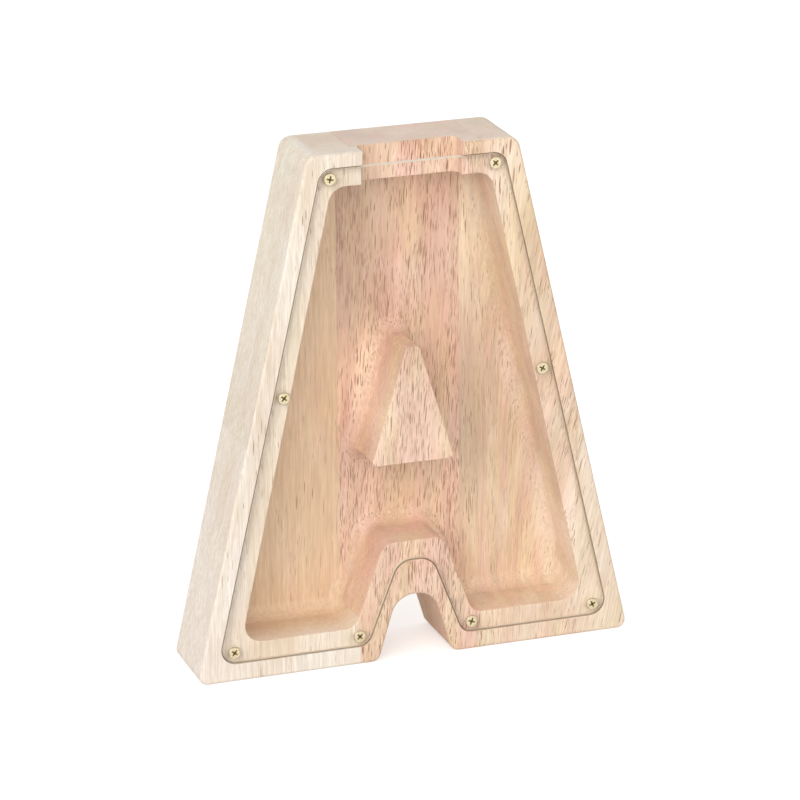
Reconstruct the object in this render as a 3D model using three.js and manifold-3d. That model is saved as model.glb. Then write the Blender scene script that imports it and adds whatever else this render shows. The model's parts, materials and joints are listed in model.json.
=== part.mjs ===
// A wooden money box in the shape of a capital A. A thick board, edge-glued from five upright staves,
// has a pocket milled into its front. A clear cover lies in a rabbet round the pocket and is held by
// eight countersunk wood screws. Coins drop in through a slot milled down the front of the top wall,
// between the cover and the wood. To empty the box the screws are backed out and the cover lifts off.
//
// Millimetres. X runs to the right, Y to the back and Z up. The origin is on the surface that the
// feet stand on, midway between the two sides and midway through the thickness.

import * as THREE from "three";
import { mergeVertices } from "three/addons/utils/BufferGeometryUtils.js";
import Module from "manifold-3d";

const wasm = await Module();
wasm.setup();

// ---- Driving dimensions ----

const HEIGHT = 200;
const THICKNESS = 32;
const FRONT = -THICKNESS / 2;
const BACK = THICKNESS / 2;

// An A-shaped outline. Its half-width is base - lean * z, and the arch between the feet is open for
// archBase - archLean * z either side of the middle. The last four values are corner radii.
const BODY = {
  top: HEIGHT, bottom: 0, base: 86.4, lean: 0.2275,
  archTop: 25.3, archBase: 14.8, archLean: 0.3,
  shoulder: 5, foot: 3.5, toe: 4, crown: 9,
};
const COVER = {
  top: 194.4, bottom: 7.4, base: 79.5, lean: 0.2275,
  archTop: 39.7, archBase: 22, archLean: 0.384,
  shoulder: 5.4, foot: 5.6, toe: 5, crown: 8,
};
const POCKET = {
  top: 187, bottom: 14, base: 71.5, lean: 0.2175,
  archTop: 46.5, archBase: 28.4, archLean: 0.356,
  shoulder: 6.8, foot: 6.8, toe: 6.2, crown: 6,
};

// The island that fills the eye of the letter, from its flat foot to its blunt tip.
const ISLAND = { bottom: 77.4, top: 122.8, bottomHalf: 16.4, topHalf: 2.5, corner: 1.6 };

const EDGE_ROUND = 1.3; // round-over along the outer front and back edges
const RABBET_DEPTH = 3;
const RABBET_CLEARANCE = 0.4; // round the edge of the cover
const FLOOR_DEPTH = 26; // from the front face to the floor of the pocket
const FLOOR_FILLET = 6; // left by the round-nosed cutter

const SLOT_WIDTH = 39;
const SLOT_DEPTH = 9; // from the front face to the back of the coin slot
const SLOT_FILLET = 2.5; // in the two back corners of the coin slot
const SLOT_REACH = 8; // how far the slot's cutter runs into the pocket and above the box

const GLUE_PLANES = [-65.5, -22, 26.5, 65]; // x of each glued joint between staves
const GLUE_LINE = 0.1; // thickness of the glue, left as a gap

const COVER_THICKNESS = 2.8;
const COVER_RECESS = 0.1; // below the front face of the wood
const COVER_FRONT = FRONT + COVER_RECESS;

const SCREW_LENGTH = 10;
const HEAD_RADIUS = 2.2;
const HEAD_RIM = 0.2;
const HEAD_CONE = 1.1;
const SHANK_RADIUS = 1.15;
const TIP_LENGTH = 2.5;
const SCREW_CLEARANCE = 0.2; // all round, in the cover and in the wood
const PILOT_DEPTH = 8.5; // of the holes in the ledge

// Half of the screws, as x and z on the right side; the other half mirrors them.
const SCREWS = [
  { name: "top", x: 32, z: 190.7 },
  { name: "middle", x: 50.8, z: 109.2 },
  { name: "foot_outer", x: 71.7, z: 11.5 },
  { name: "foot_inner", x: 22.4, z: 11.2 },
];

const OVERCUT = 2; // how far a cutter runs past the face that it cuts
const ARC_DIVISIONS = 4; // half of the facets in each rounded corner

// ---- Outlines ----

// The outline moved outwards by a distance, or inwards by a negative one.
function grown(outline, by) {
  const { lean, archLean } = outline;
  return {
    ...outline,
    top: outline.top + by,
    bottom: outline.bottom - by,
    base: outline.base + by * Math.hypot(1, lean),
    archTop: outline.archTop - by,
    archBase: outline.archBase - by * Math.hypot(1, archLean),
    shoulder: outline.shoulder + by,
    foot: outline.foot + by,
    toe: outline.toe + by,
    crown: outline.crown - by,
  };
}

// The eight corners of an A-shaped outline, anticlockwise from the right shoulder.
function letterCorners(o) {
  const half = (z) => o.base - o.lean * z;
  const arch = (z) => o.archBase - o.archLean * z;
  const right = [
    { x: half(o.top), z: o.top, radius: o.shoulder },
    { x: arch(o.archTop), z: o.archTop, radius: o.crown },
    { x: arch(o.bottom), z: o.bottom, radius: o.toe },
    { x: half(o.bottom), z: o.bottom, radius: o.foot },
  ];
  const [shoulder, crown, toe, foot] = right;
  const mirrored = (c) => ({ ...c, x: -c.x });
  return [shoulder, mirrored(shoulder), mirrored(foot), mirrored(toe), mirrored(crown), crown, toe, foot];
}

// Draws a closed polygon into a path, with an arc of the corner's own radius at each corner.
function roundedPath(path, corners) {
  const count = corners.length;
  corners.forEach((corner, i) => {
    const before = corners[(i + count - 1) % count];
    const after = corners[(i + 1) % count];
    const at = new THREE.Vector2(corner.x, corner.z);
    const arriving = new THREE.Vector2(corner.x - before.x, corner.z - before.z).normalize();
    const leaving = new THREE.Vector2(after.x - corner.x, after.z - corner.z).normalize();
    const turn = Math.atan2(arriving.cross(leaving), arriving.dot(leaving));
    const side = Math.sign(turn);
    const tangent = corner.radius * Math.tan(Math.abs(turn) / 2);
    const start = at.clone().addScaledVector(arriving, -tangent);
    const inward = new THREE.Vector2(-arriving.y, arriving.x).multiplyScalar(side);
    const centre = start.clone().addScaledVector(inward, corner.radius);
    const from = start.clone().sub(centre).angle();
    path.absarc(centre.x, centre.y, corner.radius, from, from + turn, side < 0);
  });
  path.closePath();
  return path;
}

const letterShape = (outline) => roundedPath(new THREE.Shape(), letterCorners(outline));

function islandPath() {
  const { bottom, top, bottomHalf, topHalf, corner } = ISLAND;
  const corners = [
    { x: topHalf, z: top, radius: corner },
    { x: -topHalf, z: top, radius: corner },
    { x: -bottomHalf, z: bottom, radius: corner },
    { x: bottomHalf, z: bottom, radius: corner },
  ];
  return roundedPath(new THREE.Path(), corners);
}

function slotShape() {
  const half = SLOT_WIDTH / 2;
  const low = POCKET.top - SLOT_REACH;
  const high = HEIGHT + SLOT_REACH;
  return new THREE.Shape([
    new THREE.Vector2(half, low),
    new THREE.Vector2(half, high),
    new THREE.Vector2(-half, high),
    new THREE.Vector2(-half, low),
  ]);
}

// ---- Solids ----

// A closed three.js geometry as a manifold-3d solid.
function solidOf(geometry) {
  const bare = geometry.clone();
  bare.deleteAttribute("normal");
  bare.deleteAttribute("uv");
  const merged = mergeVertices(bare, 1e-4);
  const vertProperties = new Float32Array(merged.attributes.position.array);
  const triVerts = new Uint32Array(merged.index.array);
  return new wasm.Manifold(new wasm.Mesh({ numProp: 3, vertProperties, triVerts }));
}

// A manifold-3d solid as a three.js geometry with flat facets.
function geometryOf(solid) {
  const { vertProperties, triVerts, numProp } = solid.getMesh();
  const indexed = new THREE.BufferGeometry();
  const layout = new THREE.InterleavedBuffer(vertProperties, numProp);
  indexed.setAttribute("position", new THREE.InterleavedBufferAttribute(layout, 3, 0));
  indexed.setIndex(new THREE.BufferAttribute(triVerts, 1));
  const faceted = indexed.toNonIndexed();
  faceted.computeVertexNormals();
  return faceted;
}

// A shape drawn in X and Z, extruded from one Y to another, with its front and back edges rounded.
function slab(shape, yFront, yBack, round = 0, roundSegments = 3) {
  const geometry = new THREE.ExtrudeGeometry(shape, {
    depth: yBack - yFront - 2 * round,
    curveSegments: ARC_DIVISIONS,
    bevelEnabled: round > 0,
    bevelThickness: round,
    bevelSize: round,
    bevelOffset: -round,
    bevelSegments: roundSegments,
  });
  geometry.rotateX(Math.PI / 2);
  geometry.translate(0, yBack - round, 0);
  return solidOf(geometry);
}

// A box from its lowest to its highest corner.
function block(low, high) {
  const size = high.map((value, axis) => value - low[axis]);
  const geometry = new THREE.BoxGeometry(...size);
  geometry.translate(...high.map((value, axis) => (value + low[axis]) / 2));
  return solidOf(geometry);
}

// A solid turned about an axis that runs along Y at x and z, from [radius, y] points, front to back.
function turned(points, x, z, sides = 16) {
  const profile = points.map(([radius, y]) => new THREE.Vector2(radius, -y));
  const geometry = new THREE.LatheGeometry(profile.reverse(), sides);
  geometry.rotateX(Math.PI);
  geometry.translate(x, 0, z);
  return solidOf(geometry);
}

const onBothSides = SCREWS.flatMap(({ name, x, z }) => [
  { name: `left_${name}`, x: -x, z },
  { name: `right_${name}`, x, z },
]);

// The board before it is divided into staves.
function board() {
  const ledge = FRONT + RABBET_DEPTH;
  const rabbet = slab(letterShape(grown(COVER, RABBET_CLEARANCE)), FRONT - OVERCUT, ledge);
  const pocketShape = letterShape(POCKET);
  pocketShape.holes.push(islandPath());
  const pocket = slab(pocketShape, FRONT - OVERCUT - FLOOR_FILLET, FRONT + FLOOR_DEPTH, FLOOR_FILLET, 4);
  const slot = slab(slotShape(), FRONT - OVERCUT - SLOT_FILLET, FRONT + SLOT_DEPTH, SLOT_FILLET);
  let wood = slab(letterShape(BODY), FRONT, BACK, EDGE_ROUND);
  wood = wood.subtract(rabbet).subtract(pocket).subtract(slot);
  const radius = SHANK_RADIUS + SCREW_CLEARANCE;
  const end = ledge + PILOT_DEPTH;
  for (const { x, z } of onBothSides) {
    wood = wood.subtract(turned([[0, FRONT], [radius, FRONT], [radius, end], [0, end + radius]], x, z));
  }
  return wood;
}

// One stave of the board, between two glued joints.
function stave(wood, from, to) {
  const low = [from + GLUE_LINE / 2, FRONT - OVERCUT, -OVERCUT];
  const high = [to - GLUE_LINE / 2, BACK + OVERCUT, HEIGHT + OVERCUT];
  return wood.intersect(block(low, high));
}

function cover() {
  const back = COVER_FRONT + COVER_THICKNESS;
  let sheet = slab(letterShape(COVER), COVER_FRONT, back);
  const hole = SHANK_RADIUS + SCREW_CLEARANCE;
  const sink = HEAD_RADIUS + SCREW_CLEARANCE;
  const mouth = COVER_FRONT - OVERCUT;
  const coneStart = COVER_FRONT + HEAD_RIM + SCREW_CLEARANCE / 2;
  const coneEnd = coneStart + HEAD_CONE;
  for (const { x, z } of onBothSides) {
    const profile = [
      [0, mouth], [sink, mouth], [sink, coneStart],
      [hole, coneEnd], [hole, back + OVERCUT], [0, back + OVERCUT],
    ];
    sheet = sheet.subtract(turned(profile, x, z));
  }
  return sheet;
}

// A countersunk wood screw with a cross recess. Its head is at y = 0 and it points to the back.
function screw() {
  const cone = HEAD_RIM + HEAD_CONE;
  const blank = turned([
    [0, 0], [HEAD_RADIUS, 0], [HEAD_RADIUS, HEAD_RIM], [SHANK_RADIUS, cone],
    [SHANK_RADIUS, SCREW_LENGTH - TIP_LENGTH], [0, SCREW_LENGTH],
  ], 0, 0);
  const recessDepth = 1.1;
  const mouthHalf = 1.5;
  const endHalf = 0.7;
  const wingThickness = 0.55;
  const wingShape = new THREE.Shape([
    new THREE.Vector2(-mouthHalf, OVERCUT),
    new THREE.Vector2(-mouthHalf, 0),
    new THREE.Vector2(-endHalf, -recessDepth),
    new THREE.Vector2(endHalf, -recessDepth),
    new THREE.Vector2(mouthHalf, 0),
    new THREE.Vector2(mouthHalf, OVERCUT),
  ]);
  const wing = new THREE.ExtrudeGeometry(wingShape, { depth: wingThickness, bevelEnabled: false });
  wing.translate(0, 0, -wingThickness / 2);
  wing.rotateX(Math.PI);
  const across = solidOf(wing);
  const upright = solidOf(wing.clone().rotateY(Math.PI / 2));
  return blank.subtract(across).subtract(upright);
}

// ---- Materials ----

const wood = (color) => new THREE.MeshStandardMaterial({ color, roughness: 0.6, metalness: 0 });
const STAVES = [
  { name: "stave_left_edge", material: wood(0xe9dcc0) },
  { name: "stave_left", material: wood(0xe6d3b8) },
  { name: "stave_centre", material: wood(0xe5b99d) },
  { name: "stave_right", material: wood(0xe6c4a0) },
  { name: "stave_right_edge", material: wood(0xead5b8) },
];
const acrylic = new THREE.MeshStandardMaterial({
  color: 0xf4f7f5, roughness: 0.05, metalness: 0, transparent: true, opacity: 0.25,
});
const brass = new THREE.MeshStandardMaterial({ color: 0xc9a24d, roughness: 0.3, metalness: 1 });

// ---- Assembly ----

const moneyBox = new THREE.Group();

function add(name, geometry, material) {
  const mesh = new THREE.Mesh(geometry, material);
  mesh.name = name;
  moneyBox.add(mesh);
  return mesh;
}

const wholeBoard = board();
const planes = [-BODY.base - OVERCUT, ...GLUE_PLANES, BODY.base + OVERCUT];
STAVES.forEach(({ name, material }, i) => {
  add(name, geometryOf(stave(wholeBoard, planes[i], planes[i + 1])), material);
});

add("cover", geometryOf(cover()), acrylic);

const screwGeometry = geometryOf(screw());
for (const { name, x, z } of onBothSides) {
  add(`screw_${name}`, screwGeometry, brass).position.set(x, COVER_FRONT, z);
}

export default moneyBox;
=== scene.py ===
# A wooden money box in the shape of a capital A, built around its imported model: five glued staves
# with a milled pocket, a clear cover and eight brass screws. The frame is the model's own: X to the
# right, Y to the back, Z up, with the feet on z = 0. Sizes here are in millimetres, and every mesh
# is written in metres.

import json
import math

import bmesh
import bpy
from mathutils import Matrix, Vector

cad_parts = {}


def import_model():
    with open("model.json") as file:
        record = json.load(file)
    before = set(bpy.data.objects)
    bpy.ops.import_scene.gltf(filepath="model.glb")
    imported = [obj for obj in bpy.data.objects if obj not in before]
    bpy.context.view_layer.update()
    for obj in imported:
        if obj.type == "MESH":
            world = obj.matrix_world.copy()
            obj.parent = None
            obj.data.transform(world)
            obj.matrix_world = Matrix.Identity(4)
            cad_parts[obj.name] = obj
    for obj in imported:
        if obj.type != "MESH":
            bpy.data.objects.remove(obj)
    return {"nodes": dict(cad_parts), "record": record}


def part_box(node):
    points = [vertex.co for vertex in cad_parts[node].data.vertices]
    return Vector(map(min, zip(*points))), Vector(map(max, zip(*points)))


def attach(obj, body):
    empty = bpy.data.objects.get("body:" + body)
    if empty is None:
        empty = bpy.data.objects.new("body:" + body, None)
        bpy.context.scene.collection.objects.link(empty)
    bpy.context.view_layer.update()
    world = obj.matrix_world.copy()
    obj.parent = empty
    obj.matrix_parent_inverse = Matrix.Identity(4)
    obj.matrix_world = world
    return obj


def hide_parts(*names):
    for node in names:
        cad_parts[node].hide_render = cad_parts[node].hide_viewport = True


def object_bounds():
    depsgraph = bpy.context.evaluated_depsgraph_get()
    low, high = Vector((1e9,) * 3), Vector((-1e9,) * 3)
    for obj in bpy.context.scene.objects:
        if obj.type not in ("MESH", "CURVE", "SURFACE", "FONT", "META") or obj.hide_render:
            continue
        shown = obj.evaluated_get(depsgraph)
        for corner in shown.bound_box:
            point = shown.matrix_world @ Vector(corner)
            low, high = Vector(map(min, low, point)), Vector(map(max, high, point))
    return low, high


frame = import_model()
cad_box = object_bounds()

MM = 0.001

# ---- Sizes ----

FRONT = cad_box[0].y / MM
BACK = cad_box[1].y / MM
HEIGHT = cad_box[1].z / MM

# A-shaped outlines. The half-width is base - lean * z, and the arch between the feet is open for
# arch_base - arch_lean * z either side of the middle. The last four values are corner radii.
BODY = dict(
    top=HEIGHT, bottom=0, base=86.4, lean=0.2275,
    arch_top=25.3, arch_base=14.8, arch_lean=0.3,
    shoulder=5, foot=3.5, toe=4, crown=9,
)
COVER = dict(
    top=194.4, bottom=7.4, base=79.5, lean=0.2275,
    arch_top=39.7, arch_base=22, arch_lean=0.384,
    shoulder=5.4, foot=5.6, toe=5, crown=8,
)
POCKET = dict(
    top=187, bottom=14, base=71.5, lean=0.2175,
    arch_top=46.5, arch_base=28.4, arch_lean=0.356,
    shoulder=6.8, foot=6.8, toe=6.2, crown=6,
)
ISLAND = dict(bottom=77.4, top=122.8, bottom_half=16.4, top_half=2.5, corner=1.6)

EDGE_ROUND = 1.3  # along the outer edges
EDGE_BREAK = 0.35  # sanded off the edges of the rabbet, pocket, island and slot
LEDGE = FRONT + 3
RABBET_CLEARANCE = 0.4
FLOOR = FRONT + 26
FLOOR_FILLET = 6
SLOT_HALF = 19.5
SLOT_BACK = FRONT + 9
SLOT_FILLET = 2.5
SLOT_REACH = 8  # how far the slot's cutter runs into the pocket and above the box
GLUE_PLANES = [-65.5, -22, 26.5, 65]
GLUE_HALF = 0.02
OVERCUT = 2  # how far a cutter runs past the face that it cuts

COVER_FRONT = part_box("cover")[0].y / MM
COVER_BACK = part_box("cover")[1].y / MM
COVER_BREAK = 0.15
HOLE_SKIN = 0.1  # how far outside a countersink a face still belongs to it
GAP_SHOWS = (0.6, 0.9)  # how deep in the cover's edge the painted shade of the gap begins to fade, and is gone

HEAD_RADIUS = 2.2
HEAD_BEAD = 0.14  # the bevel round the top of the head
HEAD_RIM = 0.2
HEAD_CONE = 1.1
NECK_RADIUS = 1.2
NECK_LENGTH = 0.5  # the plain part between the head and the thread
SHANK_RADIUS = 1.15
CORE_RADIUS = 0.85
THREAD_PITCH = 0.9
THREAD_SLOPE = 3.2  # how steeply the thread rises, as a share of its height for each turn
SCREW_LENGTH = 10
TIP_LENGTH = 2.5
WING_MOUTH = (1.35, 0.29)  # half the length and half the width of a bar of the cross recess
WING_END = (0.5, 0.22)
WING_FLARE = 0.4
WING_DEPTH = 1.3
PIT_DEPTH = 1.5  # in the middle of the cross recess
PIT = [(0, -0.5), (0.65, -0.5), (0.6, 0), (0.4, 1.3), (0, PIT_DEPTH)]  # (radius, depth)
CROSS_SHARE = 0.75  # of the head's radius at each depth, which the recess stays within
FACE_SKIN = 0.01  # how far below the head's face the recess begins
RIM_SKIN = 0.05  # how far in from the head's radius its rim begins, which is painted with the shade of the gap round the head
SCREW_CLEARANCE = 0.2
PILOT_END = LEDGE + 8.5

# How far each screw's cross is turned, in degrees.
SCREW_TURNS = {
    "screw_left_top": 12, "screw_right_top": 47,
    "screw_left_middle": 40, "screw_right_middle": 31,
    "screw_left_foot_outer": 37, "screw_right_foot_outer": 66,
    "screw_left_foot_inner": 46, "screw_right_foot_inner": 21,
}

ARC_STEP = math.radians(5)  # of a rounded corner
ROUND_STEPS = 6  # across a rounded edge
BREAK_STEPS = 3  # across a sanded one
LATHE_SIDES = 48
SMALL_SIDES = 24  # of a pilot hole and of the pit in a screw's head
WELD = 0.001  # how far apart two points can be and still become one

# ---- Outlines ----


def grown(outline, by):
    """The outline moved outwards by a distance, or inwards by a negative one."""
    return dict(
        outline,
        top=outline["top"] + by,
        bottom=outline["bottom"] - by,
        base=outline["base"] + by * math.hypot(1, outline["lean"]),
        arch_top=outline["arch_top"] - by,
        arch_base=outline["arch_base"] - by * math.hypot(1, outline["arch_lean"]),
        shoulder=outline["shoulder"] + by,
        foot=outline["foot"] + by,
        toe=outline["toe"] + by,
        crown=outline["crown"] - by,
    )


def letter(outline):
    """A function from a growth to the letter's eight corners as (x, z, radius), anticlockwise."""

    def corners(by):
        o = grown(outline, by)
        right = []
        for radius, z, inner in (
            ("shoulder", o["top"], False),
            ("crown", o["arch_top"], True),
            ("toe", o["bottom"], True),
            ("foot", o["bottom"], False),
        ):
            x = o["arch_base"] - o["arch_lean"] * z if inner else o["base"] - o["lean"] * z
            right.append((x, z, o[radius]))
        shoulder, crown, toe, foot = right
        left = [(-x, z, radius) for x, z, radius in (shoulder, foot, toe, crown)]
        return [shoulder, *left, crown, toe, foot]

    return corners


def island(by):
    """The island's four corners, moved outwards by a distance."""
    lean = (ISLAND["bottom_half"] - ISLAND["top_half"]) / (ISLAND["top"] - ISLAND["bottom"])
    slant = by * math.hypot(1, lean)
    top, bottom = ISLAND["top"] + by, ISLAND["bottom"] - by
    top_half = ISLAND["top_half"] + slant - by * lean
    bottom_half = ISLAND["bottom_half"] + slant + by * lean
    radius = ISLAND["corner"] + by
    return [
        (top_half, top, radius),
        (-top_half, top, radius),
        (-bottom_half, bottom, radius),
        (bottom_half, bottom, radius),
    ]


def slot(by):
    """A rectangle that runs into the pocket below and out of the top of the box."""
    half = SLOT_HALF + by
    low, high = POCKET["top"] - SLOT_REACH, HEIGHT + SLOT_REACH
    return [(half, high, 0), (-half, high, 0), (-half, low, 0), (half, low, 0)]


def rounded(corners):
    """Points round a closed polygon, with an arc at each corner."""
    points = []
    for i, (x, z, radius) in enumerate(corners):
        at = Vector((x, z))
        arriving = (at - Vector(corners[i - 1][:2])).normalized()
        leaving = (Vector(corners[(i + 1) % len(corners)][:2]) - at).normalized()
        turn = math.atan2(arriving.x * leaving.y - arriving.y * leaving.x, arriving.dot(leaving))
        start = at - arriving * radius * math.tan(abs(turn) / 2)
        inward = Vector((-arriving.y, arriving.x)) * math.copysign(radius, turn)
        steps = round(abs(turn) / ARC_STEP)
        for k in range(steps + 1):
            points.append(start + inward - Matrix.Rotation(turn * k / steps, 2) @ inward)
    return points


def arc(y, grow, radius, first, last, steps=ROUND_STEPS):
    """(y, growth) pairs round an arc about a centre, from one angle in degrees to another."""
    pairs = []
    for k in range(steps + 1):
        angle = math.radians(first + (last - first) * k / steps)
        pairs.append((y + radius * math.cos(angle), grow + radius * math.sin(angle)))
    return pairs


# ---- Solids ----


def object_of(bm, name):
    """A closed bmesh as a new object."""
    bmesh.ops.remove_doubles(bm, verts=bm.verts, dist=WELD * MM)
    bmesh.ops.recalc_face_normals(bm, faces=bm.faces)
    mesh = bpy.data.meshes.new(name)
    bm.to_mesh(mesh)
    bm.free()
    obj = bpy.data.objects.new(name, mesh)
    bpy.context.scene.collection.objects.link(obj)
    return obj


def slab(name, corners, profile):
    """A solid along Y whose outline at each (y, growth) pair of the profile is corners(growth)."""
    bm = bmesh.new()
    loops = []
    for y, grow in profile:
        points = rounded(corners(grow))
        loops.append([bm.verts.new((p.x * MM, y * MM, p.y * MM)) for p in points])
    for near, far in zip(loops, loops[1:]):
        for i in range(len(near)):
            bm.faces.new((near[i - 1], near[i], far[i], far[i - 1]))
    bm.faces.new(loops[0])
    bm.faces.new(loops[-1])
    return object_of(bm, name)


def turned(name, profile, x=0.0, z=0.0, sides=LATHE_SIDES):
    """A solid turned about an axis along Y, from (radius, y) pairs that start and end on it."""
    bm = bmesh.new()
    rings = []
    for radius, y in profile:
        ring = []
        for k in range(sides if radius else 1):
            angle = 2 * math.pi * k / sides
            across, up = radius * math.cos(angle), radius * math.sin(angle)
            ring.append(bm.verts.new(((x + across) * MM, y * MM, (z + up) * MM)))
        rings.append(ring)
    for near, far in zip(rings, rings[1:]):
        for k in range(sides):
            if len(near) == 1:
                loop = [near[0], far[k], far[k - 1]]
            elif len(far) == 1:
                loop = [near[k - 1], near[k], far[0]]
            else:
                loop = [near[k - 1], near[k], far[k], far[k - 1]]
            bm.faces.new(loop)
    return object_of(bm, name)


def block(name, near, far):
    """A box between two corners."""
    bm = bmesh.new()
    bmesh.ops.create_cube(bm, size=2)
    for v in bm.verts:
        v.co = Vector([(b if c > 0 else a) * MM for c, a, b in zip(v.co, near, far)])
    return object_of(bm, name)


def applied(obj):
    """Applies obj's modifiers to its mesh."""
    graph = bpy.context.evaluated_depsgraph_get()
    mesh = bpy.data.meshes.new_from_object(obj.evaluated_get(graph))
    obj.modifiers.clear()
    obj.data = mesh
    return obj


def boolean(obj, operation, *tools):
    """Cuts obj by, or meets it with, each tool in turn, and removes the tools."""
    for tool in tools:
        modifier = obj.modifiers.new(operation, "BOOLEAN")
        modifier.operation = operation
        modifier.solver = "EXACT"
        modifier.object = tool
        applied(obj)
        bpy.data.objects.remove(tool)
    return obj


def copied(obj, name):
    """Another object with its own copy of obj's mesh."""
    twin = bpy.data.objects.new(name, obj.data.copy())
    bpy.context.scene.collection.objects.link(twin)
    return twin


def finished(obj, material, node, crease=32):
    """Smooths a piece where it turns by less than crease degrees, gives it its material and puts it
    in its node's place."""
    bm = bmesh.new()
    bm.from_mesh(obj.data)
    bmesh.ops.remove_doubles(bm, verts=bm.verts, dist=2 * WELD * MM)
    bmesh.ops.dissolve_degenerate(bm, edges=bm.edges, dist=WELD * MM)
    bm.to_mesh(obj.data)
    bm.free()
    obj.data.shade_smooth()
    obj.data.set_sharp_from_angle(angle=math.radians(crease))
    even = obj.modifiers.new("even normals", "WEIGHTED_NORMAL")
    even.mode = "FACE_AREA"
    even.weight = 100
    even.keep_sharp = True
    applied(obj)
    obj.data.materials.clear()
    obj.data.materials.append(material)
    bodies = frame["record"]["behaviour"]["bodies"]
    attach(obj, next(body for body, nodes in bodies.items() if node in nodes))
    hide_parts(node)
    return obj


# ---- The board ----


def body_blank():
    r = EDGE_ROUND
    profile = arc(FRONT + r, -r, r, 180, 90) + arc(BACK - r, -r, r, 90, 0)
    return slab("board", letter(BODY), profile)


def rabbet_cutter():
    e, gap = EDGE_BREAK, RABBET_CLEARANCE
    lip = arc(FRONT + e, gap + e, e, 180, 270, BREAK_STEPS)
    return slab("rabbet", letter(COVER), [(FRONT - OVERCUT, gap + e), *lip, (LEDGE, gap)])


def pocket_cutter():
    e, r = EDGE_BREAK, FLOOR_FILLET
    lip = arc(LEDGE + e, e, e, 180, 270, BREAK_STEPS)
    cove = arc(FLOOR - r, -r, r, 90, 0, 2 * ROUND_STEPS)
    cutter = slab("pocket", letter(POCKET), [(LEDGE - OVERCUT / 2, e), *lip, *cove])
    brow = arc(LEDGE + e, -e, e, 180, 90, BREAK_STEPS)
    skirt = arc(FLOOR - r, r, r, 270, 360, 2 * ROUND_STEPS)
    core = slab("island", island, [*brow, *skirt, (FLOOR + OVERCUT, r)])
    return boolean(cutter, "DIFFERENCE", core)


def slot_cutter():
    e, r = EDGE_BREAK, SLOT_FILLET
    lip = arc(FRONT + e, e, e, 180, 270, BREAK_STEPS)
    cove = arc(SLOT_BACK - r, -r, r, 90, 0)
    return slab("slot", slot, [(FRONT - OVERCUT, e), *lip, *cove])


def screw_places():
    """The x and z of each screw's axis, by its node."""
    places = {}
    for node in frame["nodes"]:
        if node.startswith("screw_"):
            low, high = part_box(node)
            middle = (low + high) / 2 / MM
            places[node] = (middle.x, middle.z)
    return places


SCREWS = screw_places()


def pilot_cutter(x, z):
    r = SHANK_RADIUS + SCREW_CLEARANCE
    profile = [(0, FRONT), (r, FRONT), (r, PILOT_END), (0, PILOT_END + r)]
    return turned("pilot", profile, x, z, SMALL_SIDES)


def staves(materials):
    board = boolean(body_blank(), "DIFFERENCE", rabbet_cutter(), pocket_cutter(), slot_cutter())
    boolean(board, "DIFFERENCE", *[pilot_cutter(x, z) for x, z in SCREWS.values()])
    nodes = ["stave_left_edge", "stave_left", "stave_centre", "stave_right", "stave_right_edge"]
    reach = BODY["base"] + OVERCUT
    planes = [-reach, *GLUE_PLANES, reach]
    for i, node in enumerate(nodes):
        piece = copied(board, node + "_wood")
        near = (planes[i] + GLUE_HALF, FRONT - OVERCUT, -OVERCUT)
        far = (planes[i + 1] - GLUE_HALF, BACK + OVERCUT, HEIGHT + OVERCUT)
        boolean(piece, "INTERSECT", block("between_joints", near, far))
        finished(piece, materials[node], node)
    bpy.data.objects.remove(board)


# ---- The cover and the screws ----


def cover(faces, edges, holes):
    """The clear sheet, with a material for its faces, for its outer edges and for its screw holes."""
    e = COVER_BREAK
    front = arc(COVER_FRONT + e, -e, e, 180, 90, steps=2)
    profile = front + arc(COVER_BACK - e, -e, e, 90, 0, steps=2)
    sheet = slab("clear_cover", letter(COVER), profile)
    hole = SHANK_RADIUS + SCREW_CLEARANCE
    sink = HEAD_RADIUS + SCREW_CLEARANCE
    cone_start = COVER_FRONT + HEAD_RIM + SCREW_CLEARANCE / 2
    cone_end = cone_start + HEAD_CONE
    end = COVER_BACK + OVERCUT
    mouth = COVER_FRONT - OVERCUT
    sunk = [(0, mouth), (sink, mouth), (sink, cone_start), (hole, cone_end), (hole, end), (0, end)]
    for x, z in SCREWS.values():
        boolean(sheet, "DIFFERENCE", turned("sink", sunk, x, z))
    finished(sheet, faces, "cover", crease=20)
    sheet.data.materials.append(edges)
    sheet.data.materials.append(holes)
    for face in sheet.data.polygons:
        at_x, at_z = face.center.x / MM, face.center.z / MM
        near_hole = any(math.hypot(at_x - x, at_z - z) < sink + HOLE_SKIN for x, z in SCREWS.values())
        along_y = abs(face.normal.y)  # 1 on the sheet's two large faces
        if near_hole and along_y < 0.95:
            face.material_index = 2
        elif along_y < 0.5:
            face.material_index = 1


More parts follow.
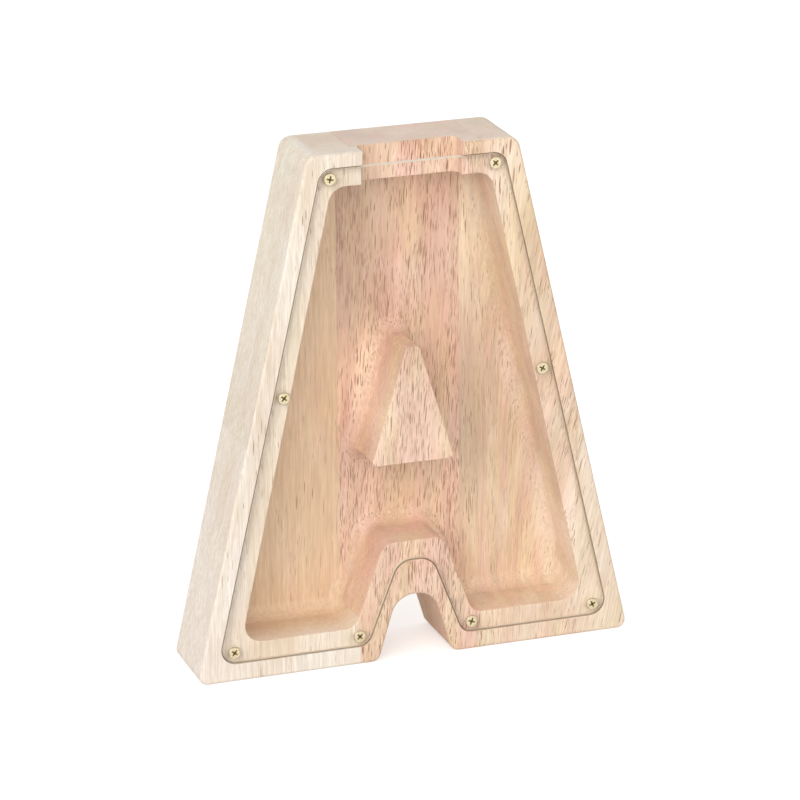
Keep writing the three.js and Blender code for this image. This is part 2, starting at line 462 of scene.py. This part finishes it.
def screw_blank():
    """A countersunk head on a threaded, pointed shank, along Y from the origin."""
    bm = bmesh.new()
    neck = HEAD_RIM + HEAD_CONE
    head = [
        (HEAD_RADIUS - HEAD_BEAD, 0), (HEAD_RADIUS, HEAD_BEAD),
        (HEAD_RADIUS, HEAD_RIM), (NECK_RADIUS, neck),
    ]
    rows_per_turn = 8
    row = THREAD_PITCH / rows_per_turn
    sides = 32
    rings = [[radius] * sides + [y] for radius, y in head]
    thread_start = neck + NECK_LENGTH
    rows = int((SCREW_LENGTH - thread_start) / row)
    for k in range(rows):
        y = thread_start + k * row
        fade = min(1, k / rows_per_turn)
        taper = min(1, (SCREW_LENGTH - y) / TIP_LENGTH)
        radii = []
        for i in range(sides):
            phase = (y / THREAD_PITCH - i / sides) % 1
            crest = max(0, 1 - abs(phase - 0.5) * THREAD_SLOPE)
            radii.append(taper * (CORE_RADIUS + fade * crest * (SHANK_RADIUS - CORE_RADIUS)))
        rings.append(radii + [y])
    loops = []
    for *radii, y in rings:
        loop = []
        for i, radius in enumerate(radii):
            angle = 2 * math.pi * i / sides
            x, z = radius * math.cos(angle), radius * math.sin(angle)
            loop.append(bm.verts.new((x * MM, y * MM, z * MM)))
        loops.append(loop)
    for near, far in zip(loops, loops[1:]):
        for i in range(sides):
            bm.faces.new((near[i - 1], near[i], far[i], far[i - 1]))
    bm.faces.new(loops[0])
    tip = bm.verts.new((0, SCREW_LENGTH * MM, 0))
    for i in range(sides):
        bm.faces.new((loops[-1][i - 1], loops[-1][i], tip))
    return object_of(bm, "screw")


def recess_wing(angle):
    """One bar of the cross recess, narrowing as it goes down, turned about Y."""
    proud = (WING_MOUTH[0] + WING_FLARE, WING_MOUTH[1])  # above the face, where nothing is cut
    bm = bmesh.new()
    loops = []
    for y, (across, up) in ((-OVERCUT / 4, proud), (0, WING_MOUTH), (WING_DEPTH, WING_END)):
        corners = [(across, up), (-across, up), (-across, -up), (across, -up)]
        loops.append([bm.verts.new((x * MM, y * MM, z * MM)) for x, z in corners])
    for near, far in zip(loops, loops[1:]):
        for i in range(4):
            bm.faces.new((near[i - 1], near[i], far[i], far[i - 1]))
    bm.faces.new(loops[0])
    bm.faces.new(loops[-1])
    bmesh.ops.rotate(bm, verts=bm.verts, matrix=Matrix.Rotation(angle, 3, "Y"))
    return object_of(bm, "wing")


def screws(plate, recess):
    """The eight screws, with one material for the plated head and one for its recess and rim: the cross
    recess is dark with tarnish and painted shade, and the rim with the painted shade of the gap round
    the head.
    """
    blank = screw_blank()
    pit = turned("pit", PIT, sides=SMALL_SIDES)
    boolean(blank, "DIFFERENCE", recess_wing(0), recess_wing(math.pi / 2), pit)
    for node, (x, z) in SCREWS.items():
        piece = copied(blank, node + "_brass")
        turn = Matrix.Rotation(math.radians(SCREW_TURNS[node]), 4, "Y")
        piece.data.transform(Matrix.Translation((x * MM, COVER_FRONT * MM, z * MM)) @ turn)
        finished(piece, plate, node, crease=28)
        piece.data.materials.append(recess)
        for face in piece.data.polygons:
            across = math.hypot(face.center.x / MM - x, face.center.z / MM - z)
            depth = face.center.y / MM - COVER_FRONT
            cone_radius = HEAD_RADIUS - max(0, depth - HEAD_RIM)
            # painted shade: the cross recess, with its tarnish, and the rim beside the gap round the
            # head
            in_cross = FACE_SKIN < depth < PIT_DEPTH and across < CROSS_SHARE * cone_radius
            on_shaded_rim = depth < HEAD_RIM and across > HEAD_RADIUS - RIM_SKIN
            face.material_index = int(in_cross or on_shaded_rim)
    bpy.data.objects.remove(blank)


# ---- Materials ----

# How wide and how long one cell of each pattern is, in millimetres. First those of the wood.
DRIFT_CELL = (22, 150)
BROAD_CELL = (11, 120)
PATCH_CELL = (17, 38)
HUE_CELL = (10, 60)
RIBBON_CELL = (2.6, 60)
STRIPE_CELL = (1.1, 26)
FIBRE_CELL = (0.4, 9)
CROWD_CELL = (12, 45)
MOTTLE_CELL = (1.6, 1.6)
PORE_CELLS = [(0.7, 13, 2.9), (0.55, 9, 8.4), (0.42, 5.5, 5.1)]  # with each layer's own shift
SMEAR_CELL = (14, 30)  # on the cover's faces
SAW_CELL = (3, 0.3)  # on its edges
CLOUD_CELL = (0.9, 0.9)  # in the brass
SCUFF_CELL = (0.12, 0.5)

DRIFT = 7.0  # how far the grain wanders sideways, in millimetres
GRAIN_PITCH = 0.8  # how far the grain leans back, in degrees
RUN_OUT_SPAN = (32, 60)  # the x between which the grain's extra lean begins and is whole
RUN_OUT_MIDDLE = 150  # the height about which it leans
FOOT_FADE = (75, 20)  # the heights between which the front turns pale towards the feet
PORE_TINT = (0.46, 0.31, 0.21)  # a pore's colour, as a share of its wood's deep colour
# the top's end grain: its own paler colour, whitened further as a painted sheen
END_GRAIN_AND_SHEEN_TONE = (0.88, 0.82, 0.75)
SAPWOOD_TONE = (0.78, 0.66, 0.54)
LIT_EDGE = (0.80, 0.66, 0.50)  # painted lit wood, standing for what is behind the back of the cover's edge
BOUNCE_TONE = (0.94, 0.86, 0.74)  # of the cover's edge, to light that the wood has scattered


class Nodes:
    """A new material's node tree, with a short way to add and join its nodes."""

    def __init__(self, name):
        self.material = bpy.data.materials.new(name)
        self.material.use_nodes = True
        self.tree = self.material.node_tree
        self.tree.nodes.clear()
        self.output = self.tree.nodes.new("ShaderNodeOutputMaterial")

    def add(self, kind, values=None, **settings):
        """A node with its settings, and its inputs set from values or joined to other nodes' outputs."""
        node = self.tree.nodes.new("ShaderNode" + kind)
        for key, value in settings.items():
            setattr(node, key, value)
        for key, value in (values or {}).items():
            if isinstance(value, bpy.types.NodeSocket):
                self.tree.links.new(value, node.inputs[key])
            else:
                node.inputs[key].default_value = value
        return node

    def math(self, operation, *operands, clamp=False):
        values = dict(enumerate(operands))
        return self.add("Math", values, operation=operation, use_clamp=clamp).outputs[0]

    def spread(self, value, low, high, to_low=0.0, to_high=1.0):
        """A value from low to high, eased into a value from to_low to to_high."""
        values = {"Value": value, "From Min": low, "From Max": high, "To Min": to_low, "To Max": to_high}
        node = self.add("MapRange", values, interpolation_type="SMOOTHSTEP")
        return node.outputs["Result"]

    def noise(self, place, detail, roughness=0.5, scale=1):
        """Noise about 0.5 at a place, whose cells are 1 / scale wide."""
        values = {"Vector": place, "Scale": scale, "Detail": detail, "Roughness": roughness}
        return self.add("TexNoise", values).outputs["Fac"]

    def millimetres(self):
        """The place on the piece, in millimetres."""
        place = self.add("TexCoord").outputs["Object"]
        return self.add("Mapping", {"Vector": place, "Scale": (1 / MM, 1 / MM, 1 / MM)}).outputs[0]

    def stretched(self, place, across, along, shift=0.0):
        """A place in millimetres, as cells of one size across the grain and another along it."""
        values = {
            "Vector": place,
            "Location": (shift, shift * 1.7, shift * 0.6),
            "Scale": (1 / across, 1 / across, 1 / along),
        }
        return self.add("Mapping", values).outputs["Vector"]

    def mix(self, factor, first, second, blend="MIX"):
        node = self.add("Mix", {0: factor, 6: first, 7: second}, data_type="RGBA", blend_type=blend)
        return node.outputs[2]

    def pocket_shade_share(self, where):
        """How much painted pocket shade a place takes: 0 on the outside of the box, some on the ledge
        and 1 on the floor of the pocket.
        """
        near, soft = 1 * MM, 2 * MM  # how close to an outline the change is, and how wide it is
        across = self.math("ABSOLUTE", where["X"])
        side = self.math("MULTIPLY_ADD", where["Z"], COVER["lean"], across)
        edge = COVER["base"] * MM + near
        within = self.spread(side, edge + soft, edge)
        above = self.spread(where["Z"], COVER["bottom"] * MM - soft, COVER["bottom"] * MM)
        arch_side = self.math("MULTIPLY_ADD", where["Z"], BODY["arch_lean"], across)
        leg = BODY["arch_base"] * MM + near
        crown = BODY["arch_top"] * MM + near
        beside_arch = self.spread(arch_side, leg, leg + soft)
        over_arch = self.spread(where["Z"], crown, crown + soft)
        within = self.math("MULTIPLY", within, self.math("MAXIMUM", beside_arch, over_arch))
        within = self.math("MULTIPLY", within, above)
        on_ledge = self.spread(where["Y"], (FRONT + 1) * MM, LEDGE * MM, 0, 0.3)
        in_pocket = self.spread(where["Y"], (LEDGE + 1) * MM, (FLOOR - FLOOR_FILLET) * MM, 0, 0.7)
        at_back = self.spread(where["Y"], (FLOOR + 1) * MM, BACK * MM)
        depth = self.math("SUBTRACT", self.math("ADD", on_ledge, in_pocket), at_back, clamp=True)
        return self.math("MULTIPLY", within, depth)

    def pores(self, place, across, along, shift, share):
        """Dark dashes along the grain, one or none in each cell. share is how many cells hold one."""
        cells = self.add("TexVoronoi", {
            "Vector": self.stretched(place, across, along, shift), "Scale": 1, "Randomness": 1,
        })
        dash = self.spread(cells.outputs["Distance"], 0.32, 0.2)
        chance = self.add("SeparateColor", {0: cells.outputs["Color"]}).outputs
        is_open = self.spread(self.math("SUBTRACT", share, chance[0]), -0.02, 0.05)
        depth = self.spread(chance[1], 0, 1, 0.55, 1.0)
        return self.math("MULTIPLY", self.math("MULTIPLY", dash, is_open), depth)

    def finish(self, surface):
        self.tree.links.new(surface, self.output.inputs["Surface"])
        return self.material


def wood(name, base, deep, pale, pocket_shade, seed, pores, streaks, spots_and_painted_light=(), sapwood=None,
         tilt=0.0, run_out=0.0, blush=0.012):
    """Pale, open-pored hardwood with its grain along Z, leaning right by tilt degrees, and by run_out
    degrees more towards its right edge. base, deep and pale are its colours, and pocket_shade
    multiplies them down in the pocket as painted shade and warm bounced light. pores is the share of
    its pores that show dark, streaks is how strong its darker streaks are, spots_and_painted_light
    are patches of another colour as ((x, z), half-width, half-height, colour), some of them the
    wood's own colour, some painted shade and some painted light, sapwood is the x up to which its
    top front is pale, and blush is how far its hue wanders between pink and gold."""
    n = Nodes(name)
    place = n.add("TexCoord").outputs["Object"]
    millimetres = n.add("Mapping", {
        "Vector": place,
        "Location": (seed * 37.0, seed * 11.0, seed * 53.0),
        "Rotation": (math.radians(GRAIN_PITCH), math.radians(-tilt), 0),
        "Scale": (1 / MM, 1 / MM, 1 / MM),
    }).outputs["Vector"]

    drift = n.add("TexNoise", {
        "Vector": n.stretched(millimetres, *DRIFT_CELL, seed), "Scale": 1, "Detail": 1,
    }).outputs["Color"]
    sideways = (DRIFT, DRIFT, 0)
    shifted = n.add("VectorMath", {0: drift, 1: sideways}, operation="MULTIPLY").outputs[0]
    grain = n.add("VectorMath", {0: millimetres, 1: shifted}, operation="ADD").outputs[0]
    where = n.add("SeparateXYZ", {0: place}).outputs
    if run_out:
        start, whole = (x * MM for x in RUN_OUT_SPAN)
        slope = n.spread(where["X"], start, whole, 0, -math.tan(math.radians(run_out)))
        rise = n.math("SUBTRACT", n.math("DIVIDE", where["Z"], MM), RUN_OUT_MIDDLE)
        sheared = n.add("CombineXYZ", {0: n.math("MULTIPLY", slope, rise)}).outputs[0]
        grain = n.add("VectorMath", {0: grain, 1: sheared}, operation="ADD").outputs[0]

    broad = n.noise(n.stretched(grain, *BROAD_CELL, 1.3), 2)
    patches = n.noise(n.stretched(grain, *PATCH_CELL, 9.2), 3)
    hues = n.noise(n.stretched(grain, *HUE_CELL, 5.5), 2)
    ribbon = n.noise(n.stretched(grain, *RIBBON_CELL, 4.1), 3, 0.6)
    stripe = n.noise(n.stretched(grain, *STRIPE_CELL, 2.2), 2)
    fibre = n.noise(n.stretched(grain, *FIBRE_CELL, 7.7), 3, 0.65)

    tone = n.mix(n.spread(broad, 0.36, 0.64), (*base, 1), (*deep, 1))
    tone = n.mix(n.spread(ribbon, 0.5, 0.72, 0, streaks), tone, (*deep, 1))
    tone = n.mix(n.spread(patches, 0.5, 0.68, 0, 0.45), tone, (*pale, 1))
    # painted shade and warm bounced light in the pocket, strongest on its floor
    pocket_shade_mix = n.pocket_shade_share(where)
    outside_pocket = n.math("SUBTRACT", 1.0, pocket_shade_mix)
    fade_top, fade_end = (z * MM for z in FOOT_FADE)
    near_foot = n.math("MULTIPLY", n.spread(where["Z"], fade_top, fade_end, 0, 0.5), outside_pocket)
    tone = n.mix(near_foot, tone, (*pale, 1))
    wander = n.math("MULTIPLY", n.math("SUBTRACT", patches, 0.5), 2.4)
    # Spots of the wood's own colour, and spots of painted shade and painted light.
    for (x, z), across, along, tint in spots_and_painted_light:
        off_x = n.math("MULTIPLY_ADD", where["X"], 1 / (across * MM), -x / across)
        off_z = n.math("MULTIPLY_ADD", where["Z"], 1 / (along * MM), -z / along)
        squares = [n.math("POWER", off, 2) for off in (n.math("ADD", off_x, wander), off_z)]
        away = n.math("SQRT", n.math("ADD", *squares))
        tone = n.mix(n.spread(away, 1.4, 0.3, 0, 0.8), tone, (*tint, 1))
    tone = n.add("HueSaturation", {
        "Hue": n.spread(hues, 0.34, 0.66, 0.5 - blush, 0.5 + blush),
        "Saturation": n.spread(patches, 0.3, 0.7, 1.1, 0.94),
        "Color": tone,
    }).outputs[0]
    stripe_light = n.spread(stripe, 0.28, 0.72, 0.93, 1.05)
    lightness = n.math("MULTIPLY", stripe_light, n.spread(fibre, 0.25, 0.75, 0.88, 1.09))
    warm_light = n.add("CombineColor", {
        0: lightness, 1: n.math("POWER", lightness, 1.25), 2: n.math("POWER", lightness, 1.6),
    }).outputs[0]
    tone = n.mix(1.0, tone, warm_light, "MULTIPLY")

    crowd = n.spread(n.noise(n.stretched(grain, *CROWD_CELL, 6.3), 2), 0.36, 0.64, 0.3, 1.3)
    share = n.math("MULTIPLY", crowd, pores)
    first, second, third = (n.pores(grain, *cell, share) for cell in PORE_CELLS)
    pore = n.math("MAXIMUM", n.math("MAXIMUM", first, second), third)
    normal = n.add("SeparateXYZ", {0: n.add("NewGeometry").outputs["Normal"]}).outputs
    along_y = n.math("ABSOLUTE", normal["Y"])
    pore = n.math("MULTIPLY", pore, n.spread(along_y, 0.6, 0.95, 0.35, 1.0))
    dark = tuple(c * s for c, s in zip(deep, PORE_TINT))
    tone = n.mix(pore, tone, (*dark, 1))

    if sapwood is not None:
        beside = n.spread(where["X"], (sapwood + 0.3) * MM, (sapwood - 0.3) * MM)
        high_up = n.spread(where["Z"], (POCKET["top"] - 6) * MM, (POCKET["top"] - 1) * MM)
        on_front = n.spread(where["Y"], SLOT_BACK * MM, (SLOT_BACK - 2) * MM)
        strip = n.math("MULTIPLY", n.math("MULTIPLY", beside, high_up), on_front)
        tone = n.mix(strip, tone, (*SAPWOOD_TONE, 1))
    # painted pocket shade: the tone multiplied down and warmed towards the pocket's floor
    tone = n.mix(pocket_shade_mix, tone, n.mix(1.0, tone, (*pocket_shade, 1), "MULTIPLY"))
    outer = n.spread(where["Z"], (HEIGHT - 4) * MM, (HEIGHT - 2) * MM)
    end_grain = n.math("MULTIPLY", n.spread(normal["Z"], 0.8, 0.98), outer)
    mottle = n.noise(n.stretched(millimetres, *MOTTLE_CELL, 3.3), 4, 0.65)
    # the top's end grain is mixed towards a whiter tone: its own paler colour and a painted sheen
    end_grain_and_sheen = n.mix(n.spread(mottle, 0.3, 0.7, 0.25, 0.6), tone, (*END_GRAIN_AND_SHEEN_TONE, 1))
    end_dark = n.spread(mottle, 0.3, 0.75, 1.12, 0.94)
    end_tint = n.add("CombineColor", {0: end_dark, 1: end_dark, 2: end_dark}).outputs[0]
    tone = n.mix(end_grain, tone, n.mix(1.0, end_grain_and_sheen, end_tint, "MULTIPLY"))

    height = n.math("SUBTRACT", n.math("MULTIPLY", fibre, 0.4), pore)
    bump = n.add("Bump", {"Height": height, "Strength": 0.4, "Distance": 0.12 * MM}).outputs[0]
    rough = n.math("ADD", n.spread(fibre, 0.3, 0.7, 0.45, 0.58), n.math("MULTIPLY", pore, 0.25))
    shader = n.add("BsdfPrincipled", {
        "Base Color": tone, "Roughness": rough, "Normal": bump, "Specular IOR Level": 0.5,
    })
    return n.finish(shader.outputs[0])


def acrylic():
    """Polished clear sheet, with a trace of handling on its faces."""
    n = Nodes("acrylic")
    place = n.millimetres()
    smear = n.noise(n.stretched(place, *SMEAR_CELL), 4, 0.6)
    sheet = n.add("BsdfPrincipled", {
        "Base Color": (0.99, 0.995, 0.992, 1), "Roughness": n.spread(smear, 0.45, 0.8, 0.0, 0.03),
        "IOR": 1.49, "Specular IOR Level": 0.3, "Transmission Weight": 1.0,
    }).outputs[0]
    clear = n.add("BsdfTransparent", {"Color": (0.985, 0.99, 0.985, 1)}).outputs[0]
    lamp_ray = n.add("LightPath").outputs["Is Shadow Ray"]
    return n.finish(n.add("MixShader", {0: lamp_ray, 1: sheet, 2: clear}).outputs[0])


def sawn_acrylic_and_gap_shade(name, gap_shade):
    """The sheet's edges, which the saw and the drill leave frosted. From inside the sheet, the part
    near its front is painted with the shade of the dark gap round the cover or a screw's head, and
    deeper in with painted lit wood."""
    n = Nodes(name)
    place = n.millimetres()
    lines = n.noise(n.stretched(place, *SAW_CELL), 2)
    tone = n.mix(n.spread(lines, 0.3, 0.7), (0.86, 0.76, 0.61, 1), (0.92, 0.84, 0.72, 1))
    frost = n.add("BsdfPrincipled", {
        "Base Color": tone, "Roughness": 0.55, "IOR": 1.49, "Specular IOR Level": 0.3,
    }).outputs[0]
    along = n.add("SeparateXYZ", {0: place}).outputs["Y"]
    # painted shade of the gap near the sheet's front, fading deeper in to painted lit wood
    past_gap_shade = n.spread(along, *(COVER_FRONT + depth for depth in GAP_SHOWS))
    gap = n.mix(past_gap_shade, (*gap_shade, 1), (*LIT_EDGE, 1))
    bounced = n.add("LightPath").outputs["Is Diffuse Ray"]
    inside = n.add("BsdfDiffuse", {"Color": n.mix(bounced, gap, (*BOUNCE_TONE, 1))}).outputs[0]
    from_inside = n.add("NewGeometry").outputs["Backfacing"]
    return n.finish(n.add("MixShader", {0: from_inside, 1: frost, 2: inside}).outputs[0])


def brass(name, bright, dull, low_rough, high_rough, metallic):
    """Plated brass that is a little uneven, between two colours and two roughnesses."""
    n = Nodes(name)
    place = n.millimetres()
    cloud = n.noise(n.stretched(place, *CLOUD_CELL), 3)
    scuff = n.noise(n.stretched(place, *SCUFF_CELL, 5), 2)
    tone = n.mix(n.spread(cloud, 0.35, 0.7), (*bright, 1), (*dull, 1))
    bump = n.add("Bump", {"Height": scuff, "Strength": 0.15, "Distance": 0.03 * MM}).outputs[0]
    shader = n.add("BsdfPrincipled", {
        "Base Color": tone, "Metallic": metallic, "Normal": bump,
        "Roughness": n.spread(scuff, 0.3, 0.7, low_rough, high_rough),
    })
    return n.finish(shader.outputs[0])


# pocket_shade is each stave's painted shade and warm bounced light in the pocket
WOODS = {
    "stave_left_edge": wood(
        "cream_wood", (0.86, 0.755, 0.65), (0.81, 0.70, 0.58), (0.89, 0.80, 0.72),
        pocket_shade=(0.90, 0.74, 0.62), seed=1.1, pores=0.05, streaks=0.3, blush=0.005),
    "stave_left": wood(
        "pale_wood", (0.86, 0.77, 0.65), (0.81, 0.70, 0.57), (0.88, 0.80, 0.70),
        # darker pocket_shade here: painted shade from the pocket's left wall
        pocket_shade=(0.88, 0.71, 0.55), seed=2.3, pores=0.09, streaks=0.4,
        # painted shade at the bottom left of the pocket
        spots_and_painted_light=[((-56, 21), 17, 16, (0.80, 0.68, 0.54))], blush=0.006),
    "stave_centre": wood(
        "pink_wood", (0.84, 0.585, 0.435), (0.72, 0.49, 0.35), (0.87, 0.64, 0.49),
        pocket_shade=(0.96, 0.92, 0.89), seed=3.6, pores=1.0, streaks=0.5,
        spots_and_painted_light=[
            # darker at the top left of the pocket: the wood's own darker heart, and painted shade under
            # the pocket's top wall and beside its left wall
            ((-16, 158), 15, 45, (0.585, 0.40, 0.27)),
            # painted light on the island's left flank
            ((-12, 104), 7, 22, (1.0, 0.76, 0.57)),
            # painted light on the slot's back wall
            ((3, 192), 22, 8, (1.0, 0.69, 0.52)),
        ],
        sapwood=-19.2, tilt=3, blush=0.014),
    "stave_right": wood(
        "tan_wood", (0.85, 0.65, 0.475), (0.73, 0.54, 0.385), (0.88, 0.72, 0.56),
        pocket_shade=(0.95, 0.90, 0.86), seed=4.8, pores=0.34, streaks=0.7,
        spots_and_painted_light=[
            ((30, 85), 13, 45, (0.613, 0.464, 0.316)),
            ((29, 157), 6, 22, (0.92, 0.74, 0.56)),
            ((63, 45), 5, 30, (0.95, 0.80, 0.65)),
        ],
        tilt=1, run_out=14, blush=0.012),
    "stave_right_edge": wood(
        "light_wood", (0.85, 0.69, 0.53), (0.78, 0.61, 0.455), (0.87, 0.74, 0.59),
        pocket_shade=(0.94, 0.88, 0.84), seed=5.9, pores=0.26, streaks=0.4, tilt=12, blush=0.006),
}

staves(WOODS)
cover(
    acrylic(),
    # painted shade of the narrow gap round the cover
    sawn_acrylic_and_gap_shade("sawn_acrylic_and_gap_shade", (0.05, 0.03, 0.012)),
    # painted shade of the gap round a screw's head
    sawn_acrylic_and_gap_shade("drilled_acrylic_and_gap_shade", (0.45, 0.35, 0.22)),
)
screws(
    brass("brass", (1.0, 0.89, 0.63), (0.90, 0.74, 0.43), 0.25, 0.42, metallic=0.7),
    # tarnish and painted shade for the cross recess and the head's rim
    brass("tarnish_and_recess_shade", (0.38, 0.27, 0.11), (0.22, 0.15, 0.06), 0.6, 0.8, metallic=0.4),
)

# ---- Floor, light and camera ----


def stage_floor():
    """A white floor. The light that it throws on the box is a little dimmer than what the lens sees
    of it, past the box or through the cover, so that the cover has no white veil."""
    n = Nodes("floor")
    place = n.add("TexCoord").outputs["Object"]
    speckle = n.noise(place, 2, scale=400)
    tone = n.mix(n.spread(speckle, 0.3, 0.7), (0.93, 0.93, 0.93, 1), (0.95, 0.95, 0.95, 1))
    seen = n.add("BsdfPrincipled", {
        "Base Color": tone, "Roughness": 0.9, "Specular IOR Level": 0.1,
        "Emission Color": (1, 1, 1, 1), "Emission Strength": 0.4,
    }).outputs[0]
    dim_tone = n.mix(1.0, tone, (0.86, 0.85, 0.83, 1), "MULTIPLY")
    dim = n.add("BsdfDiffuse", {"Color": dim_tone}).outputs[0]
    path = n.add("LightPath").outputs
    bounces = n.math("ADD", path["Glossy Depth"], path["Diffuse Depth"])
    through_cover = n.math("SUBTRACT", path["Is Transmission Ray"], bounces, clamp=True)
    from_lens = n.math("MAXIMUM", path["Is Camera Ray"], through_cover)
    surface = n.add("MixShader", {0: from_lens, 1: dim, 2: seen}).outputs[0]
    half = 6000
    bm = bmesh.new()
    corners = [(-half, -half), (half, -half), (half, half), (-half, half)]
    bm.faces.new([bm.verts.new((x * MM, y * MM, 0)) for x, y in corners])
    floor = object_of(bm, "floor")
    floor.data.materials.append(n.finish(surface))


def area_light(name, place, size, power):
    """A soft square lamp, aimed at the middle of the box. Its place and size are in metres."""
    lamp = bpy.data.lights.new(name, "AREA")
    lamp.shape = "SQUARE"
    lamp.size = size
    lamp.energy = power
    obj = bpy.data.objects.new(name, lamp)
    bpy.context.scene.collection.objects.link(obj)
    obj.location = place
    middle = Vector((0, 0, 0.1))
    obj.rotation_euler = (middle - Vector(place)).to_track_quat("-Z", "Y").to_euler()


def world(strength):
    made = bpy.data.worlds.new("studio")
    made.use_nodes = True
    made.node_tree.nodes["Background"].inputs["Color"].default_value = (1, 1, 1, 1)
    made.node_tree.nodes["Background"].inputs["Strength"].default_value = strength
    bpy.context.scene.world = made


def camera(turn, rise, roll, distance, focal, target):
    """A camera that looks at a target in millimetres, from turn degrees round from the front and rise
    degrees up."""
    data = bpy.data.cameras.new("camera")
    data.sensor_width = 36
    data.lens = focal
    data.clip_end = 100
    obj = bpy.data.objects.new("camera", data)
    bpy.context.scene.collection.objects.link(obj)
    turn, rise = math.radians(turn), math.radians(rise)
    away = Vector((math.sin(turn) * math.cos(rise), -math.cos(turn) * math.cos(rise), math.sin(rise)))
    aim = away.to_track_quat("Z", "Y").to_matrix().to_4x4()
    place = Matrix.Translation((Vector(target) + away * distance) * MM)
    obj.matrix_world = place @ aim @ Matrix.Rotation(math.radians(roll), 4, "Z")
    bpy.context.scene.camera = obj


stage_floor()
world(strength=0.66)
area_light("key", (-1.5, -1.6, 1.1), size=1.9, power=27)
area_light("side", (-2.0, 0.35, 0.6), size=1.6, power=2)
area_light("fill", (0.4, -2.1, 0.8), size=1.6, power=9)
camera(turn=-19.206, rise=18.869, roll=-0.399, distance=1547.8, focal=188.0,
       target=(-5.86, FRONT, 103.42))
bpy.context.scene.view_settings.view_transform = "Standard"
